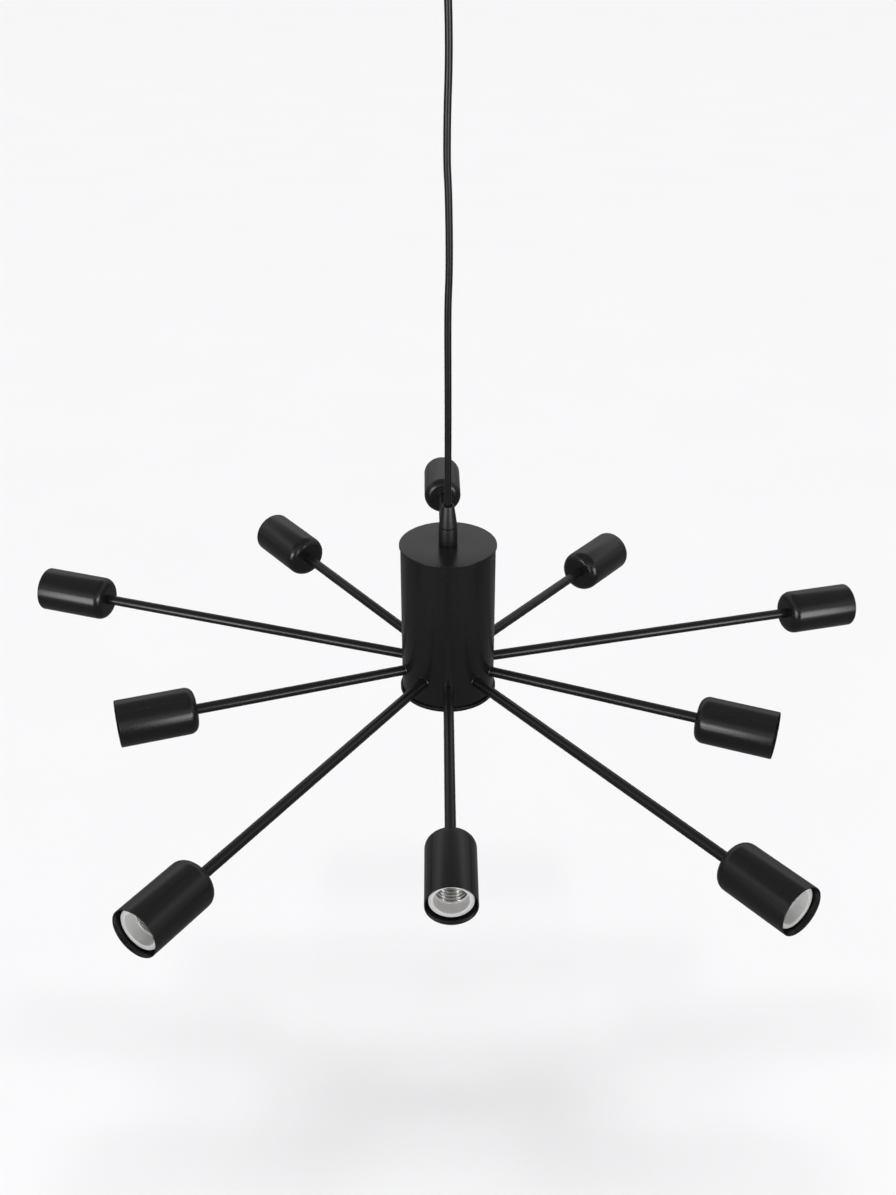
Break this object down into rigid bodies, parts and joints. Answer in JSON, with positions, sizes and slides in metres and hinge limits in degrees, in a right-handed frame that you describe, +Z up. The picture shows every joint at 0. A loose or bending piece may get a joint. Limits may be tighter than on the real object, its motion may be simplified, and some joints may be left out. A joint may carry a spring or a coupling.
{
  "type": "sputnik chandelier",
  "caption": "Hanging chandelier: straight arms, long and short in turn, stand out of the foot of a cylindrical hub and end in bare lampholder cups; one cable hangs it from a ceiling rose.",
  "frame": {"origin": "on the ceiling, at the middle of the fixing bracket's upper face", "axes": "+Z up towards the ceiling, -Y towards the front short arm and the viewer, +X to the viewer's right, along the bracket"},
  "size_m": [0.8831, 0.8549, 0.7461],
  "materials": {
    "black_coat": "satin black powder coat on steel",
    "grip_plastic": "satin black moulded",
    "cable_jacket": "smooth black jacket",
    "bush_rubber": "soft matt rubber",
    "socket_white": "white moulded, slight gloss",
    "shell_metal": "bright drawn",
    "contact_brass": "bright rolled strip",
    "zinc_steel": "zinc plated",
    "rose_screw_steel": "blackened steel",
    "terminal_plastic": "natural nylon",
    "lead_sleeve": "smooth sleeve"
  },
  "bodies": {
    "ceiling": {"ceiling_bracket": "zinc_steel", "ceiling_rose": "black_coat", "rose_screws": "rose_screw_steel", "rose_nipple": "zinc_steel", "rose_nut": "zinc_steel", "rose_terminal_block": "terminal_plastic", "rose_grip_base": "grip_plastic", "rose_grip_bush": "bush_rubber", "cable_tail": "cable_jacket"},
    "rose_cone": {"rose_grip_cone": "grip_plastic"},
    "cable": {"pendant_cable": "cable_jacket"},
    "hub": {"arm_tube_01": "black_coat", "lampholder_cup_01": "black_coat", "arm_tube_02": "black_coat", "lampholder_cup_02": "black_coat", "arm_tube_03": "black_coat", "lampholder_cup_03": "black_coat", "arm_tube_04": "black_coat", "lampholder_cup_04": "black_coat", "arm_tube_05": "black_coat", "lampholder_cup_05": "black_coat", "arm_tube_06": "black_coat", "lampholder_cup_06": "black_coat", "arm_tube_07": "black_coat", "lampholder_cup_07": "black_coat", "arm_tube_08": "black_coat", "lampholder_cup_08": "black_coat", "arm_tube_09": "black_coat", "lampholder_cup_09": "black_coat", "arm_tube_10": "black_coat", "lampholder_cup_10": "black_coat", "socket_bodies": "socket_white", "socket_shells": "shell_metal", "cup_lock_nuts": "zinc_steel", "arm_lock_nuts": "zinc_steel", "lamp_leads": "lead_sleeve", "hub_tube": "black_coat", "bottom_cap": "black_coat", "top_lid": "black_coat", "lid_bridge": "zinc_steel", "hub_nipple": "zinc_steel", "hub_nipple_nuts": "zinc_steel", "hub_terminal_block": "terminal_plastic", "supply_leads": "lead_sleeve", "hub_grip_base": "grip_plastic", "hub_grip_bush": "bush_rubber"},
    "hub_cone": {"hub_grip_cone": "grip_plastic"},
    "contact_01": {"centre_contact_01": "contact_brass"},
    "contact_02": {"centre_contact_02": "contact_brass"},
    "contact_03": {"centre_contact_03": "contact_brass"},
    "contact_04": {"centre_contact_04": "contact_brass"},
    "contact_05": {"centre_contact_05": "contact_brass"},
    "contact_06": {"centre_contact_06": "contact_brass"},
    "contact_07": {"centre_contact_07": "contact_brass"},
    "contact_08": {"centre_contact_08": "contact_brass"},
    "contact_09": {"centre_contact_09": "contact_brass"},
    "contact_10": {"centre_contact_10": "contact_brass"}
  },
  "joints": [
    {"name": "swing", "type": "hinge", "parent": "ceiling", "child": "cable", "pos_m": [0, 0, -0.0658], "axis": [0, 1, 0], "range_deg": [-12, 12]},
    {"name": "twist", "type": "hinge", "parent": "cable", "child": "hub", "pos_m": [0, 0, -0.561], "axis": [0, 0, 1], "range_deg": [-180, 180], "stiffness_Nm_per_rad": 0.002},
    {"name": "hub_cone_turn", "type": "hinge", "parent": "hub", "child": "hub_cone", "pos_m": [0, 0, -0.5377], "axis": [0, 0, 1], "range_deg": [0, 720]},
    {"name": "rose_cone_turn", "type": "hinge", "parent": "ceiling", "child": "rose_cone", "pos_m": [0, 0, -0.0513], "axis": [0, 0, -1], "range_deg": [0, 720]},
    {"name": "contact_01_press", "type": "hinge", "parent": "hub", "child": "contact_01", "pos_m": [0.00248, -0.28468, -0.71215], "axis": [1, 0.0087, 0], "range_deg": [0, 11], "stiffness_Nm_per_rad": 0.12},
    {"name": "contact_02_press", "type": "hinge", "parent": "hub", "child": "contact_02", "pos_m": [0.2509, -0.32698, -0.69087], "axis": [0.7934, 0.6088, 0], "range_deg": [0, 11], "stiffness_Nm_per_rad": 0.12},
    {"name": "contact_03_press", "type": "hinge", "parent": "hub", "child": "contact_03", "pos_m": [0.26535, -0.10452, -0.69225], "axis": [0.3665, 0.9304, 0], "range_deg": [0, 11], "stiffness_Nm_per_rad": 0.12},
    {"name": "contact_04_press", "type": "hinge", "parent": "hub", "child": "contact_04", "pos_m": [0.39309, 0.12394, -0.69807], "axis": [-0.3007, 0.9537, 0], "range_deg": [0, 11], "stiffness_Nm_per_rad": 0.12},
    {"name": "contact_05_press", "type": "hinge", "parent": "hub", "child": "contact_05", "pos_m": [0.1656, 0.23216, -0.69972], "axis": [-0.8141, 0.5807, 0], "range_deg": [0, 11], "stiffness_Nm_per_rad": 0.12},
    {"name": "contact_06_press", "type": "hinge", "parent": "hub", "child": "contact_06", "pos_m": [-0.00719, 0.41204, -0.68728], "axis": [-0.9998, -0.0175, 0], "range_deg": [0, 11], "stiffness_Nm_per_rad": 0.12},
    {"name": "contact_07_press", "type": "hinge", "parent": "hub", "child": "contact_07", "pos_m": [-0.17515, 0.22418, -0.67485], "axis": [-0.788, -0.6157, 0], "range_deg": [0, 11], "stiffness_Nm_per_rad": 0.12},
    {"name": "contact_08_press", "type": "hinge", "parent": "hub", "child": "contact_08", "pos_m": [-0.39284, 0.12386, -0.68009], "axis": [-0.3007, -0.9537, 0], "range_deg": [0, 11], "stiffness_Nm_per_rad": 0.12},
    {"name": "contact_09_press", "type": "hinge", "parent": "hub", "child": "contact_09", "pos_m": [-0.26875, -0.09517, -0.68728], "axis": [0.3338, -0.9426, 0], "range_deg": [0, 11], "stiffness_Nm_per_rad": 0.12},
    {"name": "contact_10_press", "type": "hinge", "parent": "hub", "child": "contact_10", "pos_m": [-0.21841, -0.34952, -0.69087], "axis": [0.848, -0.5299, 0], "range_deg": [0, 11], "stiffness_Nm_per_rad": 0.12}
  ]
}
